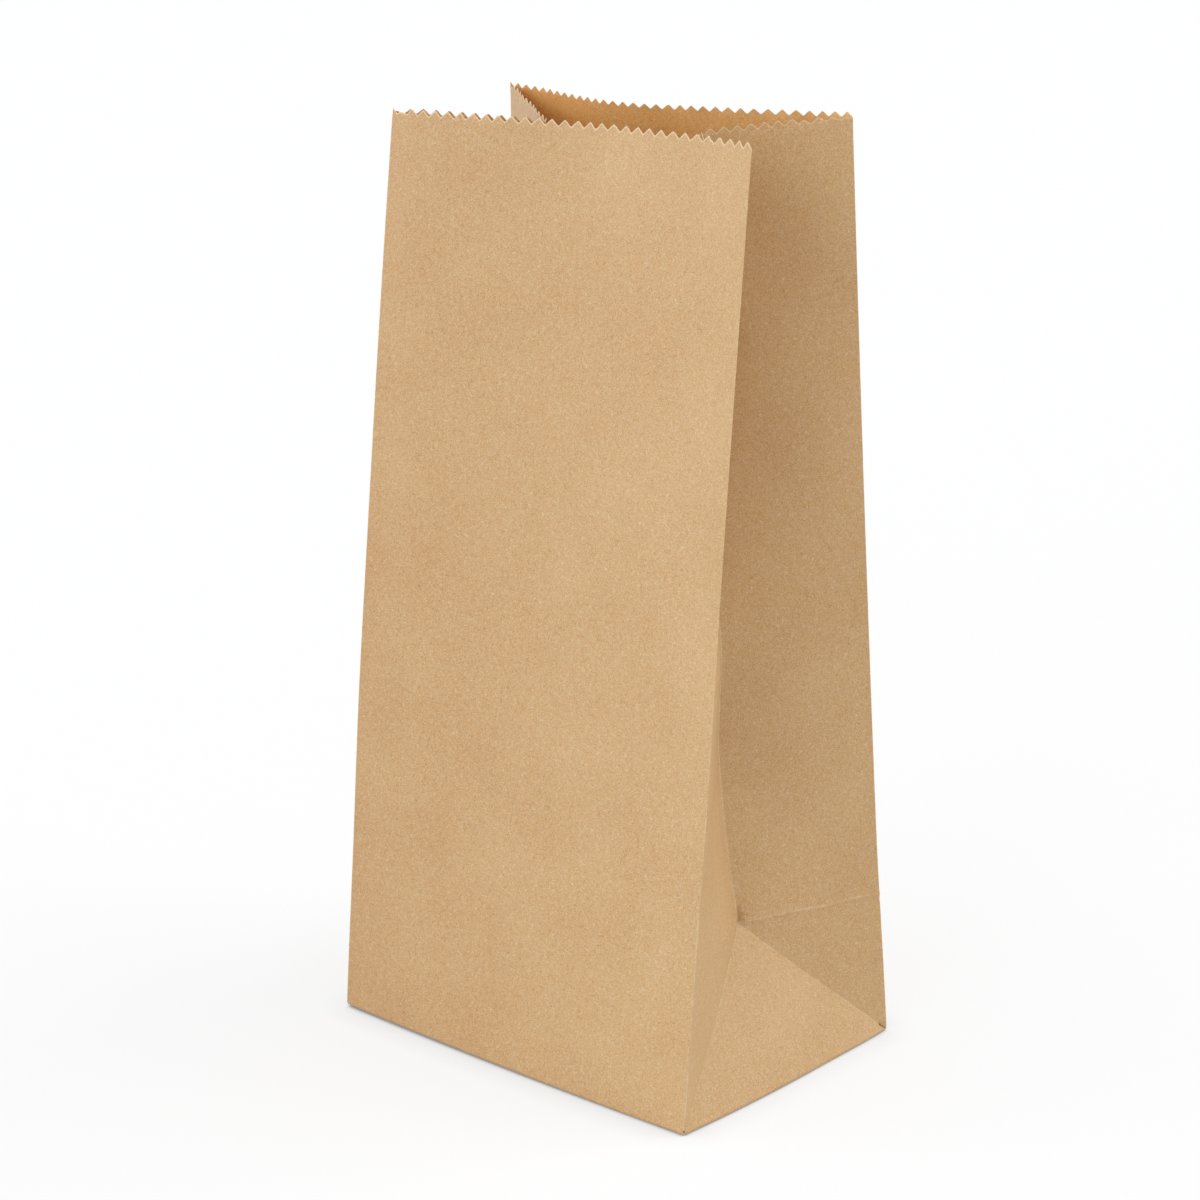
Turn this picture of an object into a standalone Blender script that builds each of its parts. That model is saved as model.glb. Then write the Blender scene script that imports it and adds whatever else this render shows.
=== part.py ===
# Brown paper lunch bag, standing open: one sheet, folded, glued and cut with a saw-tooth knife.
# Metres, +Z up. The origin is the centre of the base, on the ground.
# +X runs along the wide panels, the smooth front panel faces -Y and the creased rear panel +Y.

import math

import bmesh
import bpy

# The sheet
PANEL_W = 0.120
GUSSET_D = 0.080
BAG_H = 0.240
PAPER_T = 0.0001

# Saw-tooth cut of the mouth
TOOTH_H = 0.00185
FRONT_PITCH = 0.00393
REAR_PITCH = 0.00369
GUSSET_PITCH = 0.0038
TOOTH_BAND = 0.003

# Front panel: how far its side folds lean in at the mouth, and how they belly on the way up
FRONT_LEAN = 0.0307
FRONT_BELLY_RIGHT = 0.0003
FRONT_BELLY_LEFT = 0.0015
FRONT_NARROW_RIGHT = 0.0004
FRONT_NARROW_LEFT = 0.0009
FRONT_SWELL = 0.0004
SWELL_RISE = 0.085
SWELL_REACH = 0.035

# Rear panel: the crosswise crease left by the flat fold, and the lean below and above it
CREASE_RISE = 0.0391
REAR_LEAN_LOW = 0.0023
REAR_LEAN_RIGHT = 0.0046
REAR_LEAN_LEFT = 0.0060
REAR_BELLY = 0.0019
REAR_NARROW_RIGHT = 0.0045
REAR_NARROW_LEFT = 0.0027
REAR_FLARE_RIGHT = 0.0011

# Gussets: the triangle at the foot, its apex, and the long middle crease above it
APEX_RISE = 0.0416
TRIANGLE_LEAN = math.radians(22.2)
CREASE_SLACK_LOW = -0.0005
CREASE_PULL_TOP = 0.0008
CREASE_BUCKLE = 0.0037
BUCKLE_RISE = 0.1148
BUCKLE_REACH = 0.0202

# The mouth seen from above: how far each panel bows in at stations across it, left to right
FRONT_STATIONS = (0.0, 0.10, 0.25, 0.50, 0.75, 0.90, 1.0)
FRONT_BOW = (0.0, -0.0004, 0.0020, 0.0063, 0.0058, 0.0039, 0.0)
REAR_STATIONS = (0.0, 0.10, 0.25, 0.42, 0.58, 0.75, 0.90, 1.0)
REAR_BOW = (0.0, 0.0017, 0.0061, 0.0102, 0.0089, 0.0059, 0.0010, 0.0)

# The foot: how far its four edges bulge, and how high the bulge reaches
BULGE_LONG = 0.0010
BULGE_SHORT = 0.0016
BULGE_REACH = 0.080

# Folded base: each long flap laps past the middle of the base
FLAP_LAP = 0.008
FLAP_PITCH = 0.0038
FLAP_TOOTH_H = 0.0018
FLAP_INSET = 0.00015
FLAP_SINK = 0.00005

# Glued side seam down the rear panel
SEAM_W = 0.0148
SEAM_CENTRE = -0.030

# Mesh steps of the loft
PANEL_CELLS = 12
GUSSET_CELLS = 4
UPPER_ROWS = 14

KRAFT_COLOUR = (0.61, 0.42, 0.225, 1.0)
KRAFT_ROUGHNESS = 0.85

HALF_D = GUSSET_D / 2
HALF_W = PANEL_W / 2
BASE_LIFT = 2 * PAPER_T
VALLEY_V = BAG_H - TOOTH_H


def spline(stations, values, s):
    """A smooth curve through the values, with level tangents set by its neighbours."""
    last = len(stations) - 1
    slopes = []
    for i in range(last + 1):
        a, b = max(i - 1, 0), min(i + 1, last)
        slopes.append((values[b] - values[a]) / (stations[b] - stations[a]))
    for i in range(last):
        if s <= stations[i + 1] or i == last - 1:
            span = stations[i + 1] - stations[i]
            t = (s - stations[i]) / span
            h00 = (1 + 2 * t) * (1 - t) ** 2
            h10 = t * (1 - t) ** 2
            h01 = t * t * (3 - 2 * t)
            h11 = t * t * (t - 1)
            return (h00 * values[i] + h10 * span * slopes[i]
                    + h01 * values[i + 1] + h11 * span * slopes[i + 1])


def belly(t):
    return 4 * t * (1 - t)


# Plan position of each fold at paper height v

def front_fold(side, v):
    t = v / BAG_H
    narrow = FRONT_NARROW_RIGHT if side > 0 else FRONT_NARROW_LEFT
    bow = FRONT_BELLY_RIGHT if side > 0 else FRONT_BELLY_LEFT
    swell = FRONT_SWELL * math.exp(-((v - SWELL_RISE) / SWELL_REACH) ** 2)
    return side * (HALF_W - narrow * t + swell), -HALF_D + FRONT_LEAN * t - bow * belly(t)


def rear_fold(side, v):
    low = min(v, CREASE_RISE) / CREASE_RISE
    up = max(v - CREASE_RISE, 0.0) / (BAG_H - CREASE_RISE)
    lean = REAR_LEAN_RIGHT if side > 0 else REAR_LEAN_LEFT
    narrow = REAR_NARROW_RIGHT if side > 0 else REAR_NARROW_LEFT
    flare = REAR_FLARE_RIGHT if side > 0 else 0.0
    x = side * (HALF_W - narrow * up + flare * belly(up))
    return x, HALF_D - REAR_LEAN_LOW * low - lean * up - REAR_BELLY * belly(up)


def middle_crease(side, v):
    """The crease sits where both halves of the gusset keep their paper width."""
    xf, yf = front_fold(side, v)
    xr, yr = rear_fold(side, v)
    half_gap = (yr - yf) / 2
    law = math.sqrt(max(HALF_D ** 2 - half_gap ** 2, 0.0))
    up = (v - APEX_RISE) / (BAG_H - APEX_RISE)
    slack = -CREASE_SLACK_LOW * (1 - up) + CREASE_PULL_TOP * up
    buckle = CREASE_BUCKLE * math.exp(-((v - BUCKLE_RISE) / BUCKLE_REACH) ** 2)
    start = APEX_RISE * math.sin(TRIANGLE_LEAN)
    settle = math.exp(-(v - APEX_RISE) / HALF_D)
    xf0, yf0 = front_fold(side, APEX_RISE)
    xr0, yr0 = rear_fold(side, APEX_RISE)
    law0 = math.sqrt(max(HALF_D ** 2 - ((yr0 - yf0) / 2) ** 2, 0.0))
    tuck = law + slack - buckle + (start - law0 + CREASE_SLACK_LOW) * settle
    x = side * (HALF_W - tuck)
    y = (yf + yr) / 2 - (yf0 + yr0) / 2 * (1 - up)
    return x, y


def climb(path, start_v, start_z, steps=240):
    """Heights along a fold: the paper's length is kept, so what leans climbs less."""
    rows = [(start_v, start_z)]
    x, y = path(start_v)
    dv = (BAG_H - start_v) / steps
    for i in range(1, steps + 1):
        v = start_v + dv * i
        nx, ny = path(v)
        run = (nx - x) ** 2 + (ny - y) ** 2
        rows.append((v, rows[-1][1] + math.sqrt(max(dv * dv - run, 1e-12))))
        x, y = nx, ny
    return rows


def height_at(rows, v):
    start, step = rows[0][0], rows[1][0] - rows[0][0]
    i = min(max(int((v - start) / step), 0), len(rows) - 2)
    t = (v - rows[i][0]) / step
    return rows[i][1] * (1 - t) + rows[i + 1][1] * t


CLIMBS = {}


def fold_point(kind, side, v):
    path = {"front": front_fold, "rear": rear_fold, "middle": middle_crease}[kind]
    key = (kind, side)
    if key not in CLIMBS:
        start = APEX_RISE if kind == "middle" else 0.0
        z = APEX_RISE * math.cos(TRIANGLE_LEAN) if kind == "middle" else 0.0
        CLIMBS[key] = climb(lambda u: path(side, u), start, z)
    x, y = path(side, v)
    return (x, y, height_at(CLIMBS[key], v))


def lerp(a, b, t):
    return tuple(p + (q - p) * t for p, q in zip(a, b))


def foot_bulge(v):
    return max(1 - v / BULGE_REACH, 0.0) ** 2


def panel_point(kind, s, v):
    """A point of the front or rear panel, s from its left fold to its right fold."""
    p = lerp(fold_point(kind, -1, v), fold_point(kind, 1, v), s)
    up = v / BAG_H
    if kind == "front":
        dy = spline(FRONT_STATIONS, FRONT_BOW, s) * up - BULGE_LONG * belly(s) * foot_bulge(v)
    else:
        dy = -spline(REAR_STATIONS, REAR_BOW, s) * up + BULGE_LONG * belly(s) * foot_bulge(v)
    return (p[0], p[1] + dy, p[2])


def triangle_point(side, half, w, v):
    """The plane triangle at the foot of a gusset; w runs from the fold to the middle."""
    y = -half * (HALF_D - w)
    bulge = BULGE_SHORT * (1 - (1 - w / HALF_D) ** 2) * max(1 - v / APEX_RISE, 0.0)
    return (side * (HALF_W - v * math.sin(TRIANGLE_LEAN) + bulge), y, v * math.cos(TRIANGLE_LEAN))


def knee(half, w):
    """Paper height where the gusset's foot ends: level in front, along the crease behind."""
    if half > 0:
        return APEX_RISE
    return CREASE_RISE + (APEX_RISE - CREASE_RISE) * w / HALF_D


def gusset_point(side, half, w, v):
    """half is 1 for the front half and -1 for the rear half of a gusset."""
    kind = "front" if half > 0 else "rear"
    share = w / HALF_D
    top = knee(half, w)
    if v >= top - 1e-9:
        span = (v - top) / (BAG_H - top)
        vf = knee(half, 0.0) + (BAG_H - knee(half, 0.0)) * span
        vc = APEX_RISE + (BAG_H - APEX_RISE) * span
        return lerp(fold_point(kind, side, vf), fold_point("middle", side, vc), share)
    level = v / top
    if share >= level - 1e-9:
        return triangle_point(side, half, w, v)
    wd = level * HALF_D
    hinge = triangle_point(side, half, wd, level * knee(half, wd))
    fold = fold_point(kind, side, level * knee(half, 0.0))
    return lerp(fold, hinge, share / level)


# The bag's girth, anticlockwise from the front left fold: each stretch gives points by its share

def stretch_front(s):
    return lambda v: panel_point("front", s, v), APEX_RISE


def stretch_right_front(s):
    return lambda v: gusset_point(1, 1, s * HALF_D, v), knee(1, s * HALF_D)


def stretch_right_rear(s):
    return lambda v: gusset_point(1, -1, (1 - s) * HALF_D, v), knee(-1, (1 - s) * HALF_D)


def stretch_rear(s):
    return lambda v: panel_point("rear", 1 - s, v), CREASE_RISE


def stretch_left_rear(s):
    return lambda v: gusset_point(-1, -1, s * HALF_D, v), knee(-1, s * HALF_D)


def stretch_left_front(s):
    return lambda v: gusset_point(-1, 1, (1 - s) * HALF_D, v), knee(1, (1 - s) * HALF_D)


def tooth_count(width, pitch):
    """Whole teeth and a half, so a fold with a point faces a fold with a notch."""
    return math.floor(width / pitch) + 0.5


def mouth_steps(width, pitch, starts_high):
    """Shares across a stretch: notches and points of the saw-tooth cut."""
    n = tooth_count(width, pitch)
    notches, points = [], []
    k = 0.5 if starts_high else 0.0
    while k <= n + 1e-6:
        notches.append(min(k / n, 1.0))
        k += 1
    k = 0.0 if starts_high else 0.5
    while k <= n + 1e-6:
        points.append(min(k / n, 1.0))
        k += 1
    if starts_high:
        notches.insert(0, 0.0)
    else:
        notches.append(1.0)
    return notches, points


REAR_NOTCHES, REAR_POINTS = mouth_steps(PANEL_W, REAR_PITCH, False)


def nearest_notch(x):
    share = 0.5 - x / PANEL_W
    return min(REAR_NOTCHES[1:-1], key=lambda s: abs(s - share))


SEAM_START = nearest_notch(SEAM_CENTRE + SEAM_W / 2)
SEAM_END = nearest_notch(SEAM_CENTRE - SEAM_W / 2)


def even(cells):
    return [i / cells for i in range(cells + 1)]


def rear_columns():
    left = max(round(PANEL_CELLS * SEAM_START), 1)
    right = max(round(PANEL_CELLS * (1 - SEAM_END)), 1)
    before = [SEAM_START * i / left for i in range(left)]
    after = [SEAM_END + (1 - SEAM_END) * i / right for i in range(right + 1)]
    return before + [SEAM_START, (SEAM_START + SEAM_END) / 2] + after


STRETCHES = (
    ("front", stretch_front, even(PANEL_CELLS), PANEL_W, FRONT_PITCH, True),
    ("right_front", stretch_right_front, even(GUSSET_CELLS), HALF_D, GUSSET_PITCH, False),
    ("right_rear", stretch_right_rear, even(GUSSET_CELLS), HALF_D, GUSSET_PITCH, True),
    ("rear", stretch_rear, rear_columns(), PANEL_W, REAR_PITCH, False),
    ("left_rear", stretch_left_rear, even(GUSSET_CELLS), HALF_D, GUSSET_PITCH, True),
    ("left_front", stretch_left_front, even(GUSSET_CELLS), HALF_D, GUSSET_PITCH, False),
)


def row_height(row, crease_v):
    if row <= GUSSET_CELLS:
        return crease_v * row / GUSSET_CELLS
    top = VALLEY_V - TOOTH_BAND
    return crease_v + (top - crease_v) * (row - GUSSET_CELLS) / UPPER_ROWS


def loft_wall():
    """The folded sheet as one open surface, its foot closed by the base."""
    bm = bmesh.new()
    rows = GUSSET_CELLS + UPPER_ROWS
    shared = {}

    def vert(key, place):
        if key not in shared:
            x, y, z = place()
            shared[key] = bm.verts.new((x, y, z + BASE_LIFT))
        return shared[key]

    def key_of(index, share, tag):
        if share >= 1 - 1e-9:
            index, share = (index + 1) % len(STRETCHES), 0.0
        return index, round(share, 7), tag

    foot = []
    for index, (name, stretch, columns, width, pitch, high) in enumerate(STRETCHES):

        def grid(share, row):
            point, crease_v = stretch(share)
            return vert(key_of(index, share, row), lambda: point(row_height(row, crease_v)))

        def rim(share, high_point):
            point, crease_v = stretch(share)
            v = BAG_H if high_point else VALLEY_V
            return vert(key_of(index, share, "point" if high_point else "notch"), lambda: point(v))

        def face(verts, share_mid):
            f = bm.faces.new(verts)
            if name == "rear" and SEAM_START < share_mid < SEAM_END:
                f.material_index = 1

        for a, b in zip(columns, columns[1:]):
            foot.append(grid(a, 0))
            for row in range(rows):
                quad = [grid(a, row), grid(b, row), grid(b, row + 1), grid(a, row + 1)]
                column = columns.index(a)
                rising = name in ("right_front", "left_rear") and column == row
                falling = name in ("right_rear", "left_front") and GUSSET_CELLS - 1 - column == row
                if rising:
                    face([quad[0], quad[1], quad[2]], (a + b) / 2)
                    face([quad[0], quad[2], quad[3]], (a + b) / 2)
                elif falling:
                    face([quad[0], quad[1], quad[3]], (a + b) / 2)
                    face([quad[1], quad[2], quad[3]], (a + b) / 2)
                else:
                    face(quad, (a + b) / 2)

        # The band under the teeth joins the loft's columns to the notches
        notches, points = mouth_steps(width, pitch, high)
        i, j = 0, 0
        while i < len(columns) - 1 or j < len(notches) - 1:
            step_low = j >= len(notches) - 1 or (
                i < len(columns) - 1 and columns[i + 1] + columns[i] < notches[j + 1] + notches[j])
            if step_low:
                face([grid(columns[i], rows), grid(columns[i + 1], rows), rim(notches[j], False)],
                     (columns[i] + columns[i + 1]) / 2)
                i += 1
            else:
                face([grid(columns[i], rows), rim(notches[j + 1], False), rim(notches[j], False)],
                     (notches[j] + notches[j + 1]) / 2)
                j += 1
        for a, b in zip(notches, notches[1:]):
            point = min(points, key=lambda s: abs(s - (a + b) / 2))
            face([rim(a, False), rim(b, False), rim(point, True)], (a + b) / 2)

    bm.faces.new(list(reversed(foot)))
    return bm


def apply_all(obj):
    graph = bpy.context.evaluated_depsgraph_get()
    mesh = bpy.data.meshes.new_from_object(obj.evaluated_get(graph))
    obj.modifiers.clear()
    obj.data = mesh


def thicken(obj):
    shell = obj.modifiers.new("paper", "SOLIDIFY")
    shell.thickness = PAPER_T
    shell.offset = -1.0
    shell.use_even_offset = True
    shell.use_quality_normals = True
    apply_all(obj)


def add_seam(obj):
    """The glued seam: one more thickness of paper on the outside of the rear panel."""
    bm = bmesh.new()
    bm.from_mesh(obj.data)
    bm.normal_update()
    strip = [f for f in bm.faces if f.material_index == 1 and f.normal.y > 0.7]
    out = bmesh.ops.extrude_face_region(bm, geom=strip)
    bmesh.ops.delete(bm, geom=strip, context="FACES")
    for v in out["geom"]:
        if isinstance(v, bmesh.types.BMVert):
            v.co.y += PAPER_T
    for f in bm.faces:
        f.material_index = 0
    bm.to_mesh(obj.data)
    bm.free()


def base_edge(side, x):
    """The foot's long edge, from the same bulge as the panels."""
    share = (x + HALF_W) / PANEL_W
    return side * (HALF_D + BULGE_LONG * belly(share) - FLAP_INSET)


def flap_outline(side):
    """A long base flap: mitred ends and a saw-tooth edge past the middle; side 1 is the rear."""
    free = -side * FLAP_LAP
    reach = HALF_D + FLAP_LAP
    corner = HALF_W - FLAP_INSET
    half_free = HALF_W - reach
    points = []
    for i in range(PANEL_CELLS + 1):
        x = -corner + 2 * corner * i / PANEL_CELLS
        points.append((x, base_edge(side, x)))
    teeth = max(round(2 * half_free / FLAP_PITCH), 2)
    for i in range(2 * teeth + 1):
        x = half_free - 2 * half_free * i / (2 * teeth)
        y = free - side * (FLAP_TOOTH_H if i % 2 else 0.0)
        points.append((x, y))
    return points


def add_flap(name, side, low, high, tools):
    """The flap's flat outline, given its thickness downwards."""
    bm = bmesh.new()
    bm.faces.new([bm.verts.new((x, y, high)) for x, y in flap_outline(side)])
    bmesh.ops.recalc_face_normals(bm, faces=bm.faces)
    for f in bm.faces:
        if f.normal.z < 0:
            f.normal_flip()
    mesh = bpy.data.meshes.new(name)
    bm.to_mesh(mesh)
    bm.free()
    flap = bpy.data.objects.new(name, mesh)
    flap.hide_render = True
    flap.display_type = "WIRE"
    tools.objects.link(flap)
    sheet = flap.modifiers.new("thickness", "SOLIDIFY")
    sheet.thickness = high - low
    sheet.offset = -1.0
    apply_all(flap)
    return flap


def join(obj, flap):
    union = obj.modifiers.new(flap.name, "BOOLEAN")
    union.operation = "UNION"
    union.solver = "EXACT"
    union.object = flap
    apply_all(obj)


def kraft_material():
    mat = bpy.data.materials.new("kraft_paper")
    mat.use_nodes = True
    shader = mat.node_tree.nodes["Principled BSDF"]
    shader.inputs["Base Color"].default_value = KRAFT_COLOUR
    shader.inputs["Roughness"].default_value = KRAFT_ROUGHNESS
    shader.inputs["Metallic"].default_value = 0.0
    return mat


def main():
    for obj in list(bpy.data.objects):
        bpy.data.objects.remove(obj, do_unlink=True)
    parts = bpy.data.collections.new("paper_lunch_bag")
    tools = bpy.data.collections.new("paper_lunch_bag_tools")
    bpy.context.scene.collection.children.link(parts)
    bpy.context.scene.collection.children.link(tools)

    mesh = bpy.data.meshes.new("paper_bag")
    bm = loft_wall()
    bm.to_mesh(mesh)
    bm.free()
    bag = bpy.data.objects.new("paper_bag", mesh)
    parts.objects.link(bag)
    thicken(bag)
    add_seam(bag)

    # The front flap lies under the base, and the rear flap laps over it and rests on the ground
    front = add_flap("front_flap", -1, PAPER_T, BASE_LIFT + FLAP_SINK, tools)
    rear = add_flap("rear_flap", 1, 0.0, BASE_LIFT + 1.4 * FLAP_SINK, tools)
    join(bag, front)
    join(bag, rear)

    bag.data.materials.clear()
    bag.data.materials.append(kraft_material())


main()
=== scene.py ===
# Looks of the brown paper lunch bag: its folded sheet as one fine mesh, kraft paper, light and camera.
# Metres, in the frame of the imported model.

import math

import bmesh
import bpy
import numpy as np
from mathutils import Matrix, Vector


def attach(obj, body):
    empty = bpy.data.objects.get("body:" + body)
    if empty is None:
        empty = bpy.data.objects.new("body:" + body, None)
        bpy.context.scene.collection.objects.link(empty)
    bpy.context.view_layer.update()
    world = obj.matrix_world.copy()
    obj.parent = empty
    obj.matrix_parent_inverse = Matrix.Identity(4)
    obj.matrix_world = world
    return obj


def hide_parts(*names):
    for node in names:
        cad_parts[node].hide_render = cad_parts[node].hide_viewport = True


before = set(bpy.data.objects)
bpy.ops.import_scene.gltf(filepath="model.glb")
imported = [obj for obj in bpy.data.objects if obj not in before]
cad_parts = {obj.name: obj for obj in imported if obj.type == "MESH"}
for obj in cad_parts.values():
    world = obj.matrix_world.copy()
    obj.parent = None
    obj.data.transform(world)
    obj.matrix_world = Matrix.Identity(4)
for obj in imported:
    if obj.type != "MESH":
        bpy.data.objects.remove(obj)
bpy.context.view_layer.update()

# The sheet, as in the part's source. A size named _RISE is a paper height above the foot.
PANEL_W = 0.120
GUSSET_D = 0.080
BAG_H = 0.240
PAPER_T = 0.0001

FRONT_LEAN = 0.0307
FRONT_BELLY_RIGHT = 0.0003
FRONT_BELLY_LEFT = 0.0015
FRONT_NARROW_RIGHT = 0.0004
FRONT_NARROW_LEFT = 0.0009
FRONT_SWELL = 0.0004
SWELL_RISE = 0.085
SWELL_REACH = 0.035

CREASE_RISE = 0.0391
REAR_LEAN_LOW = 0.0023
REAR_LEAN_RIGHT = 0.0046
REAR_LEAN_LEFT = 0.0060
REAR_BELLY = 0.0019
REAR_NARROW_RIGHT = 0.0045
REAR_NARROW_LEFT = 0.0027
REAR_FLARE_RIGHT = 0.0011

APEX_RISE = 0.0416
TRIANGLE_LEAN = math.radians(22.2)
CREASE_SLACK_LOW = -0.0005
CREASE_PULL_TOP = 0.0008
CREASE_BUCKLE = 0.0037
BUCKLE_RISE = 0.1148
BUCKLE_REACH = 0.0202

FRONT_STATIONS = (0.0, 0.10, 0.25, 0.50, 0.75, 0.90, 1.0)
FRONT_BOW = (0.0, -0.0004, 0.0020, 0.0063, 0.0058, 0.0039, 0.0)
REAR_STATIONS = (0.0, 0.10, 0.25, 0.42, 0.58, 0.75, 0.90, 1.0)
REAR_BOW = (0.0, 0.0017, 0.0061, 0.0102, 0.0089, 0.0059, 0.0010, 0.0)

BULGE_LONG = 0.0010
BULGE_SHORT = 0.0016
BULGE_REACH = 0.080

FLAP_LAP = 0.008
FLAP_PITCH = 0.0038
FLAP_TOOTH_H = 0.0018
FLAP_INSET = 0.0012

SEAM_W = 0.0148
SEAM_CENTRE = -0.030

# Fineness of the visual mesh. BESIDE_FOLD is where columns stand beside a fold, in fold radii,
# and EVEN_ROWS is how much of the rows' spacing is even: the rest grows upwards.
FOLD_RADIUS = 0.0003
BESIDE_FOLD = (1.0, 2.2)
PANEL_CELLS = 60
GUSSET_CELLS = 42
UPPER_ROWS = 78
TOOTH_STEPS = 10
TOOTH_BAND = 0.0045
BAND_LEVELS = (0.0, 0.35, 0.72, 1.0)
EDGE_BAND = 0.0004
COLUMN_CLEAR = 0.00008
EVEN_ROWS = 0.4

HALF_D = GUSSET_D / 2
HALF_W = PANEL_W / 2
BASE_LIFT = 2 * PAPER_T
GIRTH = 2 * (PANEL_W + GUSSET_D)


def smoothstep(a, b, x):
    t = np.clip((x - a) / (b - a), 0.0, 1.0)
    return t * t * (3 - 2 * t)


def hump(x, centre, reach):
    return np.exp(-((x - centre) / reach) ** 2)


def spline(stations, values, s):
    x, y = np.array(stations), np.array(values)
    slopes = np.empty(len(x))
    for i in range(len(x)):
        a, b = max(i - 1, 0), min(i + 1, len(x) - 1)
        slopes[i] = (y[b] - y[a]) / (x[b] - x[a])
    i = np.clip(np.searchsorted(x, s, side="left") - 1, 0, len(x) - 2)
    span = x[i + 1] - x[i]
    t = (s - x[i]) / span
    return ((1 + 2 * t) * (1 - t) ** 2 * y[i] + t * (1 - t) ** 2 * span * slopes[i]
            + t * t * (3 - 2 * t) * y[i + 1] + t * t * (t - 1) * span * slopes[i + 1])


def belly(t):
    return 4 * t * (1 - t)


# Folds of the standing bag, by paper height v

def front_fold(side, v):
    t = v / BAG_H
    narrow = FRONT_NARROW_RIGHT if side > 0 else FRONT_NARROW_LEFT
    bow = FRONT_BELLY_RIGHT if side > 0 else FRONT_BELLY_LEFT
    swell = FRONT_SWELL * hump(v, SWELL_RISE, SWELL_REACH)
    return side * (HALF_W - narrow * t + swell), -HALF_D + FRONT_LEAN * t - bow * belly(t)


def rear_fold(side, v):
    low = np.minimum(v, CREASE_RISE) / CREASE_RISE
    up = np.maximum(v - CREASE_RISE, 0.0) / (BAG_H - CREASE_RISE)
    lean = REAR_LEAN_RIGHT if side > 0 else REAR_LEAN_LEFT
    narrow = REAR_NARROW_RIGHT if side > 0 else REAR_NARROW_LEFT
    flare = REAR_FLARE_RIGHT if side > 0 else 0.0
    x = side * (HALF_W - narrow * up + flare * belly(up))
    return x, HALF_D - REAR_LEAN_LOW * low - lean * up - REAR_BELLY * belly(up)


def middle_crease(side, v):
    """The crease sits where both halves of the gusset keep their paper width."""
    xf, yf = front_fold(side, v)
    xr, yr = rear_fold(side, v)
    law = np.sqrt(np.maximum(HALF_D ** 2 - ((yr - yf) / 2) ** 2, 0.0))
    up = (v - APEX_RISE) / (BAG_H - APEX_RISE)
    slack = -CREASE_SLACK_LOW * (1 - up) + CREASE_PULL_TOP * up
    buckle = CREASE_BUCKLE * hump(v, BUCKLE_RISE, BUCKLE_REACH)
    start = APEX_RISE * math.sin(TRIANGLE_LEAN)
    settle = np.exp(-(v - APEX_RISE) / HALF_D)
    yf0, yr0 = front_fold(side, APEX_RISE)[1], rear_fold(side, APEX_RISE)[1]
    law0 = math.sqrt(HALF_D ** 2 - ((yr0 - yf0) / 2) ** 2)
    tuck = law + slack - buckle + (start - law0 + CREASE_SLACK_LOW) * settle
    return side * (HALF_W - tuck), (yf + yr) / 2 - (yf0 + yr0) / 2 * (1 - up)


PATHS = {"front": front_fold, "rear": rear_fold, "middle": middle_crease}
CLIMBS = {}


def fold_point(kind, side, v):
    """The paper's length is kept along each fold, so what leans climbs less."""
    key = (kind, side)
    if key not in CLIMBS:
        start = APEX_RISE if kind == "middle" else 0.0
        z0 = APEX_RISE * math.cos(TRIANGLE_LEAN) if kind == "middle" else 0.0
        vs = np.linspace(start, BAG_H, 400)
        x, y = PATHS[kind](side, vs)
        rise = np.sqrt(np.maximum(np.diff(vs) ** 2 - np.diff(x) ** 2 - np.diff(y) ** 2, 1e-12))
        CLIMBS[key] = (vs, z0 + np.concatenate([[0.0], np.cumsum(rise)]))
    x, y = PATHS[kind](side, v)
    return np.stack([x, y, np.interp(v, *CLIMBS[key])], -1)


def lerp(a, b, t):
    return a + (b - a) * np.asarray(t)[..., None]


def panel_point(kind, s, v):
    p = lerp(fold_point(kind, -1, v), fold_point(kind, 1, v), s)
    up = v / BAG_H
    bulge = BULGE_LONG * belly(s) * np.maximum(1 - v / BULGE_REACH, 0.0) ** 2
    if kind == "front":
        p[..., 1] += spline(FRONT_STATIONS, FRONT_BOW, s) * up - bulge
    else:
        p[..., 1] += -spline(REAR_STATIONS, REAR_BOW, s) * up + bulge
    return p


def triangle_point(side, half, w, v):
    y = -half * (HALF_D - w)
    bulge = BULGE_SHORT * (1 - (1 - w / HALF_D) ** 2) * np.maximum(1 - v / APEX_RISE, 0.0)
    x = side * (HALF_W - v * math.sin(TRIANGLE_LEAN) + bulge)
    return np.stack([x, y, v * math.cos(TRIANGLE_LEAN)], -1)


def knee(half, w):
    """Paper height where the gusset's foot ends: level in front, along the crease behind."""
    if half > 0:
        return APEX_RISE + 0 * w
    return CREASE_RISE + (APEX_RISE - CREASE_RISE) * w / HALF_D


def gusset_point(side, half, w, v):
    """half is 1 for the front half and -1 for the rear half of a gusset."""
    kind = "front" if half > 0 else "rear"
    share = w / HALF_D
    top = knee(half, w)
    corner = knee(half, 0.0)
    span = np.clip((v - top) / (BAG_H - top), 0.0, None)
    high = lerp(fold_point(kind, side, corner + (BAG_H - corner) * span),
                fold_point("middle", side, APEX_RISE + (BAG_H - APEX_RISE) * span), share)
    level = np.clip(v / top, 1e-9, 1.0)
    wd = level * HALF_D
    hinge = triangle_point(side, half, wd, level * knee(half, wd))
    low = lerp(fold_point(kind, side, level * corner), hinge, np.clip(share / level, 0.0, 1.0))
    foot = triangle_point(side, half, w, np.minimum(v, top))
    low = np.where((share >= level)[..., None], foot, low)
    return np.where((v >= top)[..., None], high, low)


# The girth, anticlockwise from the front left fold

STARTS = (0.0, PANEL_W, PANEL_W + HALF_D, PANEL_W + GUSSET_D,
          2 * PANEL_W + GUSSET_D, 2 * PANEL_W + GUSSET_D + HALF_D, GIRTH)


def crease_height(g):
    """Paper height of the foot's top all round: level in front, a little lower behind."""
    return np.interp(np.mod(g, GIRTH), (0.0, STARTS[2], STARTS[3], STARTS[4], STARTS[5], GIRTH),
                     (APEX_RISE, APEX_RISE, CREASE_RISE, CREASE_RISE, APEX_RISE, APEX_RISE))


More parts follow.
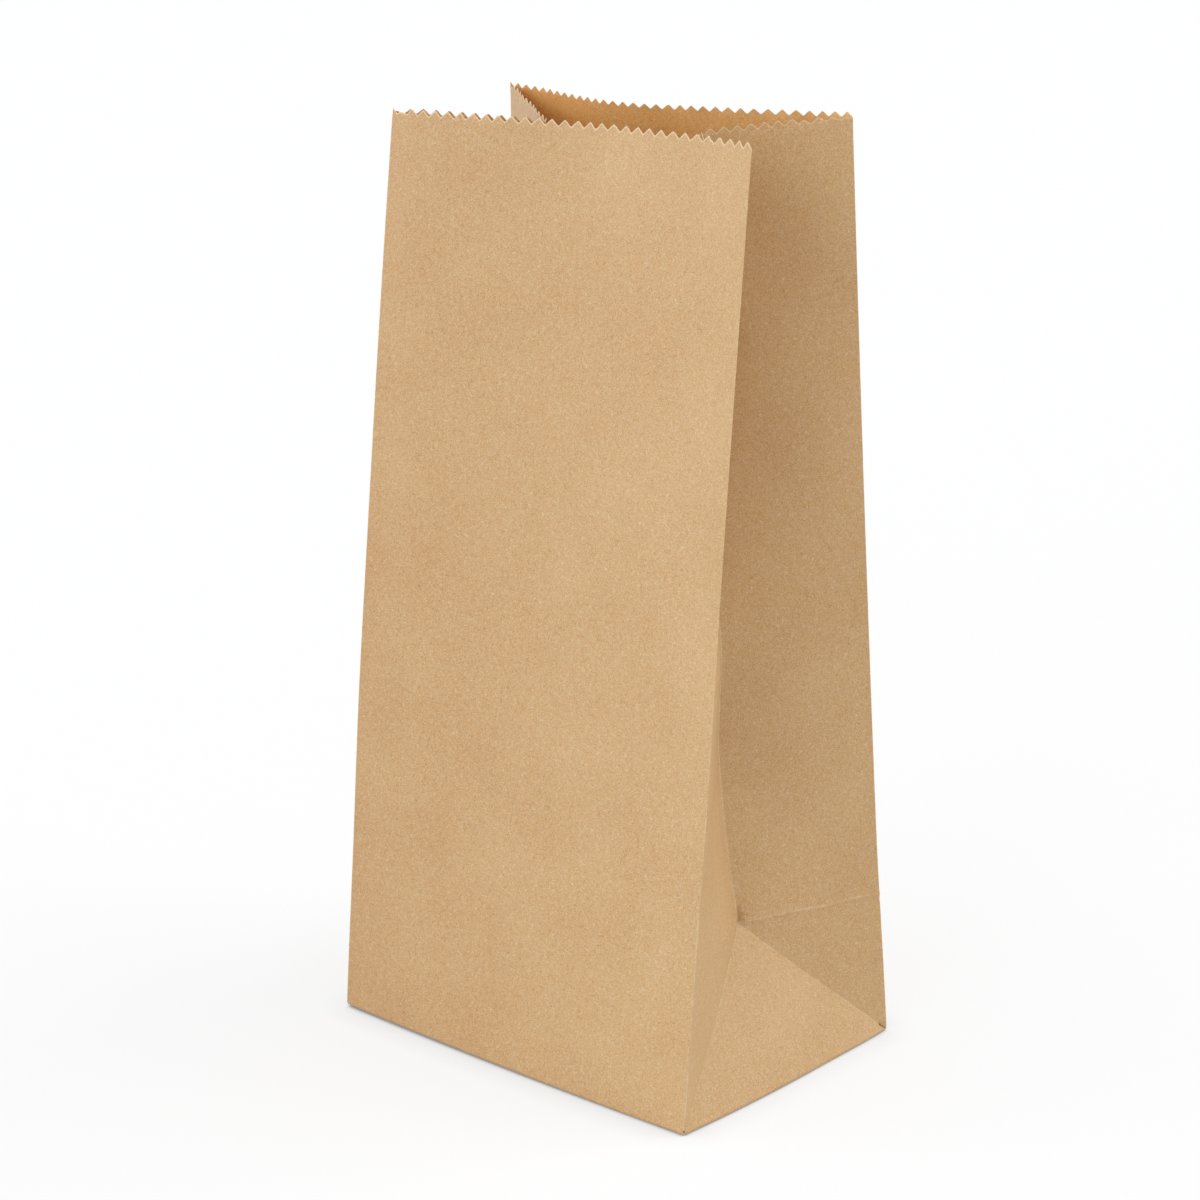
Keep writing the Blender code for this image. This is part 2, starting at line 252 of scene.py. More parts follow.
def girth_point(g, v):
    g = np.mod(g, GIRTH)
    g, v = np.broadcast_arrays(g, v)
    out = np.zeros(g.shape + (3,))
    for i in range(6):
        m = (g >= STARTS[i]) & (g < STARTS[i + 1])
        if not m.any():
            continue
        t, vm = g[m] - STARTS[i], v[m]
        if i == 0:
            out[m] = panel_point("front", t / PANEL_W, vm)
        elif i == 1:
            out[m] = gusset_point(1, 1, t, vm)
        elif i == 2:
            out[m] = gusset_point(1, -1, HALF_D - t, vm)
        elif i == 3:
            out[m] = panel_point("rear", 1 - t / PANEL_W, vm)
        elif i == 4:
            out[m] = gusset_point(-1, -1, t, vm)
        else:
            out[m] = gusset_point(-1, 1, HALF_D - t, vm)
    return out


def rounded_point(g, v):
    """The folded sheet with every fold rounded: the mean of the sharp one over a small patch."""
    steps = np.array([-1.0, -0.5, 0.0, 0.5, 1.0]) * FOLD_RADIUS
    total = 0.0
    for dg in steps:
        for dv in steps:
            fade = np.clip(np.minimum(v, BAG_H - v) / FOLD_RADIUS, 0.0, 1.0)
            total = total + girth_point(g + dg, np.clip(v + dv * fade, 0.0, BAG_H))
    return total / len(steps) ** 2


def sheet_point(g, v):
    """The rounded sheet, carried on straight where the cut rises past its full height."""
    past = np.maximum(v - BAG_H, 0.0)[..., None]
    inside = np.minimum(v, BAG_H)
    p = rounded_point(g, inside)
    if past.any():
        step = 0.001
        p = p + (p - rounded_point(g, inside - step)) / step * past
    return p


# Columns of the mesh round the girth

WIDTHS = (PANEL_W, HALF_D, HALF_D, PANEL_W, HALF_D, HALF_D)
SEAM_FREE_EDGE = STARTS[3] + HALF_W - (SEAM_CENTRE + SEAM_W / 2)
SEAM_FAR_EDGE = STARTS[3] + HALF_W - (SEAM_CENTRE - SEAM_W / 2)
SEAM_STEP = 0.00006


def fold_columns(cells, width, extra=()):
    """Even shares across a stretch, with two more columns beside each fold."""
    near = [k * FOLD_RADIUS / width for k in BESIDE_FOLD]
    kept = near + [1 - k for k in near] + list(extra)
    clear = FOLD_RADIUS / width
    inner = [i / cells for i in range(1, cells)]
    inner = [s for s in inner if min(abs(s - k) for k in kept) > clear]
    return [0.0] + sorted(kept + inner) + [1.0]


def seam_shares():
    edges = (SEAM_FREE_EDGE - SEAM_STEP, SEAM_FREE_EDGE + SEAM_STEP, SEAM_FAR_EDGE)
    return [(g - STARTS[3]) / PANEL_W for g in edges]


GUSSET_SHARES = fold_columns(GUSSET_CELLS, HALF_D)
SHARES = (fold_columns(PANEL_CELLS, PANEL_W), GUSSET_SHARES, GUSSET_SHARES,
          fold_columns(PANEL_CELLS, PANEL_W, seam_shares()), GUSSET_SHARES, GUSSET_SHARES)
COLUMN_G = np.array([STARTS[i] + WIDTHS[i] * s for i in range(6) for s in SHARES[i][:-1]])


# The saw-tooth cut, stretch by stretch

UNEVEN_TEETH = 0.07
UNEVEN_TURN = 2.4
BLUNT = 0.00025


class Cut:
    """The teeth of one stretch: pitch, place of the first point, half width over which they are blunt.
    At stations across the stretch, drops is how far the points lie below the sheet's full height,
    and heights how tall the teeth are."""

    def __init__(self, pitch, first, blunt, stations, drops, heights):
        self.pitch = pitch
        self.first = first
        self.blunt = blunt
        self.stations = stations
        self.drops = drops
        self.heights = heights

    def depth(self, share, t):
        turn = (t - self.first) / self.pitch
        tooth = np.floor(turn + 0.5)
        uneven = 1 + UNEVEN_TEETH * np.sin(UNEVEN_TURN * tooth + 1000 * self.first)
        wave = 2 * abs(turn - tooth)
        line = np.interp(share, self.stations, self.drops)
        return line + np.interp(share, self.stations, self.heights) * uneven * wave


FRONT_CUT = Cut(0.003934, 0.0, BLUNT, (0.0, 0.05, 0.2, 0.9, 1.0),
                (0.0004, 0.0003, 0.0002, 0.0002, -0.0001), (0.0016, 0.0017, 0.00175, 0.00175, 0.0016))
RIGHT_FRONT_CUT = Cut(0.0036, 0.0018, BLUNT, (0.0, 0.08, 0.80, 1.0),
                      (0.0003, 0.0017, 0.0013, -0.0008), (0.0014, 0.0008, 0.0012, 0.0015))
RIGHT_REAR_CUT = Cut(0.00355, 0.0027, 2 * BLUNT, (0.0, 0.25, 0.50, 0.62, 0.74, 0.81, 0.92, 1.0),
                     (-0.0009, -0.0008, -0.00065, -0.0004, -0.0001, 0.0002, 0.0009, 0.0011),
                     (0.0017, 0.0018, 0.0019, 0.0017, 0.0015, 0.0012, 0.0006, 0.0004))
REAR_CUT = Cut(0.00369, 0.00185, BLUNT, (0.0, 0.04, 0.10, 0.35, 0.47, 0.70, 0.80, 0.93, 1.0),
               (-0.0001, 0.0001, 0.0003, 0.0004, 0.0008, 0.0009, 0.0007, 0.0004, 0.0002),
               (0.0014, 0.0014, 0.0015, 0.0014, 0.0013, 0.0013, 0.0013, 0.0014, 0.0014))
LEFT_REAR_CUT = Cut(0.0036, 0.0, BLUNT, (0.0, 1.0), (0.0002, 0.0002), (0.0015, 0.0015))
LEFT_FRONT_CUT = Cut(0.00338, 0.00139, BLUNT, (0.0, 0.86, 0.94, 1.0),
                     (0.0002, 0.0002, 0.0014, 0.0012), (0.0016, 0.0016, 0.0004, 0.0004))
CUTS = (FRONT_CUT, RIGHT_FRONT_CUT, RIGHT_REAR_CUT, REAR_CUT, LEFT_REAR_CUT, LEFT_FRONT_CUT)

# Faults of the cut: how deep, where round the girth, and how far they reach to each side
TORN_TOOTH = (0.0010, 0.0040, 0.0009)
NICK = (0.0004, 0.1029, 0.0003)
RAGGED_TOOTH = (0.0006, STARTS[2] + 0.0280, 0.0010)


def sharp_cut(g):
    g = np.mod(g, GIRTH)
    depth = np.zeros(g.shape)
    for i, cut in enumerate(CUTS):
        m = (g >= STARTS[i]) & (g < STARTS[i + 1])
        t = g[m] - STARTS[i]
        depth[m] = cut.depth(t / WIDTHS[i], t)
    return depth


def cut_depth(g):
    """How far the cut edge lies below the sheet's full height, its teeth a little blunt."""
    stretch = np.clip(np.searchsorted(STARTS, np.mod(g, GIRTH), side="right") - 1, 0, 5)
    blunt = np.array([cut.blunt for cut in CUTS])[stretch]
    steps = np.linspace(-1.0, 1.0, 7)
    depth = sum(sharp_cut(g + k * blunt) for k in steps) / len(steps)
    for deep, where, reach in (TORN_TOOTH, NICK, RAGGED_TOOTH):
        depth = depth + deep * hump(g, where, reach)
    return depth


def cut_columns():
    """The columns of the cut band: those of the sheet, and more across each tooth."""
    places = list(COLUMN_G)
    for i, cut in enumerate(CUTS):
        step = cut.pitch / TOOTH_STEPS
        for k in range(math.ceil(-cut.first / step), math.floor((WIDTHS[i] - cut.first) / step) + 1):
            g = STARTS[i] + cut.first + k * step
            if np.abs(COLUMN_G - g).min() > COLUMN_CLEAR and g < STARTS[i + 1] - COLUMN_CLEAR:
                places.append(g)
    return np.array(sorted(places))


CUT_G = cut_columns()


def sheet_rows():
    """Paper heights of the sheet's grid up to the cut band, each row an array over the columns."""
    crease = crease_height(COLUMN_G)
    # The foot's rows lie at the gusset's shares, so the 45 degree folds cross cells from corner to corner
    rows = [crease * share for share in GUSSET_SHARES]
    start = crease + BESIDE_FOLD[1] * FOLD_RADIUS
    rows += [crease + FOLD_RADIUS, start]
    for i in range(1, UPPER_ROWS):
        t = i / UPPER_ROWS
        rows.append(start + (BAG_H - TOOTH_BAND - start) * (EVEN_ROWS * t + (1 - EVEN_ROWS) * t * t))
    return np.array(rows)


def band_rows():
    foot = BAG_H - TOOTH_BAND + 0 * CUT_G
    top = BAG_H - cut_depth(CUT_G)
    rows = [foot + (top - EDGE_BAND - foot) * t for t in BAND_LEVELS]
    return np.array(rows + [top])


ROW_V = sheet_rows()
BAND_V = band_rows()


# Small unevenness of the paper: how far each form stands out, and the lengths of its waves

RIPPLE = 0.00016
RIPPLE_WAVES = (0.034, 0.047, 0.061, 0.080)
FINE_RIPPLE = 0.00003
FINE_WAVES = (0.009, 0.0125, 0.015)
FOLD_CALM = 0.012
FOOT_CALM = 0.02

CREASE_WAVER = 0.00018
WAVER_WAVES = (0.006, 0.0093, 0.017)
CREASE_RIDGE = 0.00020
RIDGE_REACH = 0.0005
RIDGE_EVEN = 0.6
RIDGE_PATCHY = 0.35
PATCHY_WAVES = (0.0071, 0.0113, 0.019)
CREASE_DIP = 0.00012
DIP_DROP = 0.0014
DIP_REACH = 0.0009
SEAM_FADE = 0.002

TOOTH_LEAN = 0.00016
TOOTH_WAVES = (0.0085, 0.0137, 0.021)
TIP_H = 0.0030

PINCH = 0.00055
PINCH_REACH = 0.0011
STAR = 0.00013
STAR_RING = 0.0026
STAR_REACH = 0.0016
STAR_ARMS = 5

# Forms of the gussets: how far out or in, and the length of their waves
BUCKLE_WRINKLE = 0.00014
BUCKLE_WAVE = 0.0023
BUCKLE_SKEW = 0.4
DRAWN_IN = 0.00080
SIDE_WRINKLE = 0.00016
SIDE_WAVE = 0.0019
KINK = 0.00030

# Where they lie: distance behind the middle crease and its reach, then paper height and its reach
BUCKLE_SPOT = (0.0260, 0.0040, CREASE_RISE + 0.0002, 0.0030)
DRAWN_IN_SPOT = (0.0009, 0.0006, APEX_RISE + 0.0026, 0.0024)
SIDE_SPOT = (HALF_D - 0.0019, 0.0009, 0.0190, 0.0042)
KINK_SPOT = (0.0, 0.0016, 0.088, 0.0022)

# The foot's corners, and the folds that stand open
FOOT_LIFT = 0.00038
LIFT_REACH = 0.110
REAR_FOOT_OUT = 0.0008
FRONT_FOOT_OUT = -0.0004
FOOT_OUT_REACH = 0.030
FOOT_BEND_RISE = 0.060
FOOT_ROUND = 0.00034
FOOT_ROUND_RISE = 0.0006
OPEN_FOLD = 0.0006
OPEN_FOLD_PLACE = 0.0024
OPEN_FOLD_REACH = 0.0015
OPEN_FOLD_WIDTH = 0.0003
SLIT_LENGTH = 0.0036
WEDGE_WIDTH = 0.0008
WEDGE_START = 0.0001
WEDGE_ABOVE_APEX = 0.0018
WEDGE_REACH = 0.0020


def waves(g, v, lengths, seed):
    """A sum of long waves over the sheet, about one in size."""
    rng = np.random.RandomState(seed)
    total = 0.0
    for length in lengths:
        turn = rng.uniform(0, math.pi)
        phase = rng.uniform(0, 2 * math.pi)
        total = total + np.sin(2 * math.pi * (g * math.cos(turn) + v * math.sin(turn)) / length + phase)
    return total / math.sqrt(len(lengths))


def spot(along, v, place):
    """1 in the middle of a place on the sheet, fading over its two reaches."""
    across, reach, height, tall = place
    return hump(along, across, reach) * hump(v, height, tall)


def vertical_fold_gap(g):
    """Distance over the paper to the nearest of the four upright folds."""
    gap = np.full(g.shape, 1.0)
    for fold in (STARTS[0], STARTS[1], STARTS[3], STARTS[4], GIRTH):
        gap = np.minimum(gap, abs(g - fold))
    return gap


def fold_gap(g, v):
    """Distance over the paper to the nearest sharp fold."""
    gap = vertical_fold_gap(g)
    for middle in (STARTS[2], STARTS[5]):
        w = HALF_D - abs(g - middle)
        line = np.where(v >= crease_height(g), abs(g - middle), 1.0)
        slope = w - v / crease_height(g) * HALF_D
        diagonal = abs(slope) * math.sqrt(0.5)
        apex = np.hypot(g - middle, v - APEX_RISE)
        here = np.minimum(np.minimum(line, diagonal), apex)
        gap = np.where(w > 0, np.minimum(gap, here), gap)
    return gap


def crease_line(g, v):
    """Signed height above the wavering crosswise crease, on the rear panel and rear gusset halves."""
    waver = CREASE_WAVER * waves(g, 0 * v, WAVER_WAVES, seed=3)
    behind = (g > STARTS[2]) & (g < STARTS[5])
    return np.where(behind, v - crease_height(g) - waver, 1.0)


def diagonal_gap(g, v):
    """Distance to the fold from the apex to the rear corner, on the right."""
    w = HALF_D - (g - STARTS[2])
    return abs(w - v / crease_height(g) * HALF_D) * math.sqrt(0.5)


def seam_step(g):
    """The glued seam's free edge is one paper thickness high, and its far side fades out."""
    rise = smoothstep(SEAM_FREE_EDGE - SEAM_STEP, SEAM_FREE_EDGE + SEAM_STEP, g)
    return PAPER_T * rise * (1 - smoothstep(SEAM_FAR_EDGE, SEAM_FAR_EDGE + SEAM_FADE, g))


def apex_forms(along, v):
    """The pinch at the apex, and the short wrinkles that run out from it like a star."""
    up = v - APEX_RISE
    reach = np.hypot(along, up)
    turn = np.arctan2(up, along)
    pinch = -PINCH * np.exp(-(reach / PINCH_REACH) ** 2)
    return pinch, STAR * np.sin(STAR_ARMS * turn) * np.exp(-((reach - STAR_RING) / STAR_REACH) ** 2)


def unevenness(g, v):
    """How far each point stands out of the folded surface, outwards."""
    free = smoothstep(0.0, FOLD_CALM, fold_gap(g, v)) * smoothstep(0.0, FOOT_CALM, v)
    out = RIPPLE * waves(g, v, RIPPLE_WAVES, seed=5) * free
    out = out + FINE_RIPPLE * waves(g, v, FINE_WAVES, seed=9) * free
    line = crease_line(g, v)
    patchy = RIDGE_EVEN + RIDGE_PATCHY * waves(g, 0 * v, PATCHY_WAVES, seed=21)
    ridge = CREASE_RIDGE * patchy * hump(line, 0.0, RIDGE_REACH)
    out = out + ridge - CREASE_DIP * hump(line, -DIP_DROP, DIP_REACH)
    out = out + seam_step(g)
    for middle, sign in ((STARTS[2], 1), (STARTS[5], -1)):
        along = sign * (g - middle)
        # Small wrinkles where the crease buckled
        skewed = along + BUCKLE_SKEW * (v - CREASE_RISE)
        wrinkle = np.sin(2 * math.pi * skewed / BUCKLE_WAVE)
        out = out + BUCKLE_WRINKLE * spot(along, v, BUCKLE_SPOT) * wrinkle
        pinch, star = apex_forms(along, v)
        out = out + pinch + star
        # Beside the crease, just above the apex, the rear half is drawn in
        out = out - DRAWN_IN * spot(along, v, DRAWN_IN_SPOT)
        # Small wrinkles beside the rear fold, under the crosswise crease
        wrinkle = np.cos(2 * math.pi * (along - SIDE_SPOT[0]) / SIDE_WAVE)
        out = out + SIDE_WRINKLE * spot(along, v, SIDE_SPOT) * wrinkle
        out = out - KINK * spot(along, v, KINK_SPOT)
    # The rear corner's fold stands open a little at the foot
    corner = hump(np.hypot(g - STARTS[3], v), OPEN_FOLD_PLACE, OPEN_FOLD_REACH) * (g < STARTS[3])
    return out - OPEN_FOLD * corner * hump(diagonal_gap(g, v), 0.0, OPEN_FOLD_WIDTH)


def tooth_bends(g, v):
    """The teeth's tips lean a little in or out."""
    return TOOTH_LEAN * waves(g, 0 * v, TOOTH_WAVES, seed=17) * smoothstep(BAG_H - TIP_H, BAG_H, v)


def outward(g, v):
    """The sheet's normal, away from the inside."""
    step = 0.0002
    across = sheet_point(g + step, v) - sheet_point(g - step, v)
    high = np.clip(v + step, 2 * step, BAG_H)
    up = sheet_point(g, high) - sheet_point(g, high - 2 * step)
    normal = np.cross(across, up)
    return normal / np.linalg.norm(normal, axis=-1, keepdims=True)


def near_corner(x, y, side, reach):
    """1 at the foot's rear right corner, or its front left one for side -1, and 0 beyond reach."""
    return 1 - smoothstep(0.0, reach, np.hypot(x - side * HALF_W, y - side * HALF_D))


def foot_lift(x, y):
    """The front left corner of the foot stands a little off the floor."""
    return FOOT_LIFT * near_corner(x, y, -1, LIFT_REACH)


def foot_reach(x, y):
    """The rear right corner of the foot reaches out a little, and so does the front left one."""
    rear = REAR_FOOT_OUT * near_corner(x, y, 1, FOOT_OUT_REACH)
    return rear + FRONT_FOOT_OUT * near_corner(x, y, -1, FOOT_OUT_REACH)


def slit_gap(g, v):
    """Distance to the open stretch of the fold that ends in the rear right foot corner."""
    past = np.maximum(np.hypot(g - STARTS[3], v) - SLIT_LENGTH, 0.0)
    return np.where(g < STARTS[3], np.hypot(diagonal_gap(g, v), past), 1.0)


def painted_wedge_shade(g, v):
    """Painted shade in the wedge where the middle crease opens above the apex: 1 in its middle, 0
    elsewhere.
    """
    along = g - STARTS[2]
    across = np.exp(-(along / WEDGE_WIDTH) ** 2) * (along > WEDGE_START)
    return across * hump(v, APEX_RISE + WEDGE_ABOVE_APEX, WEDGE_REACH)


def grid_points(g, v):
    p = sheet_point(g, v)
    normal = outward(g, v)
    p = p + normal * (unevenness(g, v) + tooth_bends(g, v))[..., None]
    # The foot's fold is rounded: its lowest row draws in a little
    shrink = FOOT_ROUND * (1 - smoothstep(0.0, FOOT_ROUND_RISE, v))
    flat = normal.copy()
    flat[..., 2] = 0
    p = p - flat * shrink[..., None]
    low = 1 - smoothstep(0.0, FOOT_BEND_RISE, v)
    lift = foot_lift(p[..., 0], p[..., 1])
    p[..., 0] += low * foot_reach(p[..., 0], p[..., 1])
    p[..., 2] += BASE_LIFT + low * lift
    return p


def sheet_faces(index, band, first_cut):
    """Quads up the sheet, split along the 45 degree folds, and above them the finer cut band."""
    rows, cols = index.shape
    faces = []
    n_gusset = len(GUSSET_SHARES) - 1
    firsts = np.cumsum([0] + [len(shares) - 1 for shares in SHARES])
    for j in range(cols):
        k = (j + 1) % cols
        stretch = int(np.searchsorted(firsts, j, side="right") - 1)
        column = j - firsts[stretch]
        for i in range(rows - 1):
            a, b, c, d = index[i, j], index[i, k], index[i + 1, k], index[i + 1, j]
            if stretch in (1, 4) and column == i and i < n_gusset:
                faces += [(a, b, c), (a, c, d)]
            elif stretch in (2, 5) and n_gusset - 1 - column == i:
                faces += [(a, b, d), (b, c, d)]
            else:
                faces.append((a, b, c, d))
        low, high = first_cut[j], first_cut[j + 1]
        over = [band[0, c % band.shape[1]] for c in range(high, low - 1, -1)]
        faces.append((index[-1, j], index[-1, k], *over))
    for j in range(band.shape[1]):
        k = (j + 1) % band.shape[1]
        for i in range(band.shape[0] - 1):
            faces.append((band[i, j], band[i, k], band[i + 1, k], band[i + 1, j]))
    faces.append(tuple(index[0][::-1]))
    return [tuple(int(x) for x in f) for f in faces]


# What the kraft material reads at each point: distances to folds and edges in mm, and the wedge's painted
# shade.
# Slanting folds, the seam, and the cut elsewhere than on the front panel show thinner pale lines,
# so they count as farther away.
FAR_MM = 8.0
THIN_FOLD = 0.00014
THIN_SEAM = 0.00026
THIN_CUT = 1.7


def add_marks(mesh, marks):
    for name, values in marks.items():
        layer = mesh.attributes.new(name, "FLOAT", "POINT")
        layer.data.foreach_set("value", np.clip(values, -FAR_MM, FAR_MM).astype(np.float32))


def sheet_mesh():
    sheet_g = np.broadcast_to(COLUMN_G, ROW_V.shape)
    band_g = np.broadcast_to(CUT_G, BAND_V.shape)
    p = grid_points(sheet_g, ROW_V)
    p[0, :, 2] = BASE_LIFT + foot_lift(p[0, :, 0], p[0, :, 1])
    verts = np.concatenate([p.reshape(-1, 3), grid_points(band_g, BAND_V).reshape(-1, 3)])
    index = np.arange(ROW_V.size).reshape(ROW_V.shape)
    band = ROW_V.size + np.arange(BAND_V.size).reshape(BAND_V.shape)
    first_cut = list(np.searchsorted(CUT_G, COLUMN_G - 1e-9)) + [len(CUT_G)]
    mesh = bpy.data.meshes.new("paper_bag_sheet")
    mesh.from_pydata([tuple(x) for x in verts], [], sheet_faces(index, band, first_cut))
    mesh.update()

    g = np.concatenate([sheet_g.reshape(-1), band_g.reshape(-1)])
    v = np.concatenate([ROW_V.reshape(-1), BAND_V.reshape(-1)])
    cut = (BAG_H - cut_depth(g) - v) * np.where(g < PANEL_W, 1.0, THIN_CUT)
    add_marks(mesh, {
        "fold_mm": np.minimum(vertical_fold_gap(g), fold_gap(g, v) + THIN_FOLD) * 1000,
        "crease_mm": crease_line(g, v) * 1000,
        "cut_mm": np.minimum(cut, abs(g - SEAM_FREE_EDGE) + THIN_SEAM) * 1000,
        "slit_mm": slit_gap(g, v) * 1000,
        "wedge": painted_wedge_shade(g, v),
    })
    return mesh


def link(name, data):
    obj = bpy.data.objects.new(name, data)
    bpy.context.scene.collection.objects.link(obj)
    return obj


def apply_modifiers(obj):
    graph = bpy.context.evaluated_depsgraph_get()
    mesh = bpy.data.meshes.new_from_object(obj.evaluated_get(graph))
    obj.modifiers.clear()
    obj.data = mesh


# Kraft paper

WARM_KRAFT = (0.612, 0.360, 0.138, 1.0)
PALE_KRAFT = (0.612, 0.412, 0.226, 1.0)
# The inside: the paper's other side, its colour made warmer and brighter as painted light for light
# bounced inside the bag and shining through the paper
WARM_INSIDE_PAINTED_LIGHT = (0.762, 0.380, 0.102, 1.0)
PALE_INSIDE_PAINTED_LIGHT = (0.762, 0.442, 0.162, 1.0)
PALE_FIBRE = (0.77, 0.67, 0.44, 1.0)
BROWN_FIBRE = (0.47, 0.235, 0.075, 1.0)
# The grain's colour, which also carries the painted light that brightens towards the right
GRAIN_AND_PAINTED_LIGHT_COLOUR = (0.090, 0.100, 0.066)
PALE_MARK_AND_HIGHLIGHT = (0.84, 0.69, 0.46, 1.0)
SPECK = (0.20, 0.11, 0.05, 1.0)
# Painted shade for the open fold, the wedge and the pinhole
PAINTED_GAP_SHADE = (0.16, 0.075, 0.030, 1.0)

# Painted light: the paper's colour grows brighter towards the bag's right, for the sheen outside and the
# light reaching the inside there: the least and the most, and over which x
PAINTED_LIGHT_OUTSIDE = (-0.30, 0.16, -0.06, 0.06)
PAINTED_LIGHT_INSIDE = (-0.12, 0.85, 0.006, 0.034)

# Patterns of the pulp, in waves to a metre, and how strongly each shows
CLOUD_SCALE = 38.0
FLOC_SCALE = 420.0
LUMP_SCALE = 1300.0
GRAIN_SCALE = 3900.0
CLOUD_STRENGTH = 1.1
FLOC_STRENGTH = 0.78
LUMP_STRENGTH = 0.18
GRAIN_STRENGTH = 5.0

# Fibres are thin level lines of a twisted noise, in broken stretches
BROWN_SCALE = 560.0
BROWN_TWIST = 1.4
BROWN_LEVEL = 0.5
BROWN_STRENGTH = 0.31
LIGHT_SCALE = 640.0
LIGHT_TWIST = 1.7
LIGHT_LEVEL = 0.49
LIGHT_STRENGTH = 0.32
FIBRE_BAND = (0.014, 0.036)
BREAK_SCALE = 900.0
BREAK_BAND = (0.44, 0.56)

SPECK_SCALE = 95.0
SPECK_RARITY = 0.72
SPECK_BAND = (0.012, 0.026)
SPECK_STRENGTH = 0.5

# Marks of folds and edges, pale with wear and painted highlight or dark with painted shade: over which
# distance they fade, and how strongly they show
KEPT_LINE_SCALE = 260.0
KEPT_LINE_BAND = (0.62, 0.36)
FOLD_BAND_MM = (0.05, 0.38)
FOLD_STRENGTH = 0.62
CREASE_BAND_MM = (0.08, 0.40)
CREASE_STRENGTH = 0.42
SLIT_BAND_MM = (0.06, 0.34)
SLIT_STRENGTH = 0.72
WEDGE_STRENGTH = 0.58
CUT_BAND_MM = (0.16, 0.50)

# Painted shade: a dark spot for the pinhole where three folds meet at the front foot corner
PINHOLE = (0.0598, -0.0397, 0.0011)
PINHOLE_BAND = (0.00022, 0.00045)
PINHOLE_STRENGTH = 0.85

ROUGHNESS = 0.43
ROUGHNESS_SPREAD = 0.15
SPECULAR = 0.42
BUMP_STRENGTH = 0.3
BUMP_HEIGHT = 0.00008
FLOC_RELIEF = 1.2
FIBRE_RELIEF = 0.3


class Nodes:
    """Short calls for the nodes of a material or of the world."""

    def __init__(self, owner):
        owner.use_nodes = True
        self.tree = owner.node_tree

    def add(self, kind, **values):
        """A new node: each value is one of its settings or, failing that, one of its inputs."""
        node = self.tree.nodes.new(kind)
        for key, value in values.items():
            if hasattr(node, key):
                setattr(node, key, value)
            else:
                node.inputs[key].default_value = value
        return node

    def join(self, output, node, socket):
        self.tree.links.new(output, node.inputs[socket])

    def math(self, operation, a, b=None, clamp=False):
        node = self.add("ShaderNodeMath", operation=operation, use_clamp=clamp)
        for i, value in enumerate((a, b)):
            if value is None:
                continue
            if isinstance(value, (int, float)):
                node.inputs[i].default_value = value
            else:
                self.join(value, node, i)
        return node.outputs[0]

    def times(self, a, b):
        return self.math("MULTIPLY", a, b)

    def plus(self, a, b):
        return self.math("ADD", a, b)

    def less(self, a, b):
        return self.math("SUBTRACT", a, b)

    def noise(self, where, scale, detail=2.0, roughness=0.5, twist=0.0):
        node = self.add("ShaderNodeTexNoise", Scale=scale, Detail=detail,
                        Roughness=roughness, Distortion=twist)
        self.join(where, node, "Vector")
        return node.outputs["Fac"]

    def swing(self, where, scale, detail, roughness):
        """A noise that swings about zero."""
        return self.less(self.noise(where, scale, detail, roughness), 0.5)

    def band(self, value, low, high):
        """1 below low and 0 above high, or the other way round where low is the larger."""
        node = self.add("ShaderNodeMapRange", clamp=True)
        self.join(value, node, 0)
        for i, limit in enumerate((low, high, 1.0, 0.0)):
            node.inputs[i + 1].default_value = limit
        return node.outputs[0]

    def mark(self, name):
        return self.add("ShaderNodeAttribute", attribute_name=name).outputs["Fac"]

    def over(self, colour, factor, paint):
        """A paint laid over a colour, as thickly as the factor says."""
        mix = self.add("ShaderNodeMix", data_type="RGBA")
        self.join(factor, mix, 0)
        self.join(colour, mix, 6)
        mix.inputs[7].default_value = paint
        return mix.outputs[2]


def fibres(n, place, scale, twist, level, stretches):
    """Thin curled lines where a noise crosses a level, kept on some stretches."""
    curl = n.math("ABSOLUTE", n.less(n.noise(place, scale, 1.0, 0.5, twist), level))
    return n.times(n.band(curl, *FIBRE_BAND), stretches)


def painted_light_across_x(n, place, painted_light):
    """Painted light: a share of brightness that grows from the bag's left to its right."""
    least, most, left, right = painted_light
    axes = n.add("ShaderNodeSeparateXYZ")
    n.join(place, axes, 0)
    return n.plus(least, n.times(n.less(1.0, n.band(axes.outputs[0], left, right)), most - least))


def specks(n, place):
    """Sparse dark specks of bark: small spots in some cells of a random pattern."""
    cells = n.add("ShaderNodeTexVoronoi", Scale=SPECK_SCALE)
    n.join(place, cells, "Vector")
    pick = n.add("ShaderNodeSeparateColor")
    n.join(cells.outputs["Color"], pick, 0)
    chosen = n.math("GREATER_THAN", pick.outputs[0], SPECK_RARITY)
    return n.times(n.band(cells.outputs["Distance"], *SPECK_BAND), chosen)


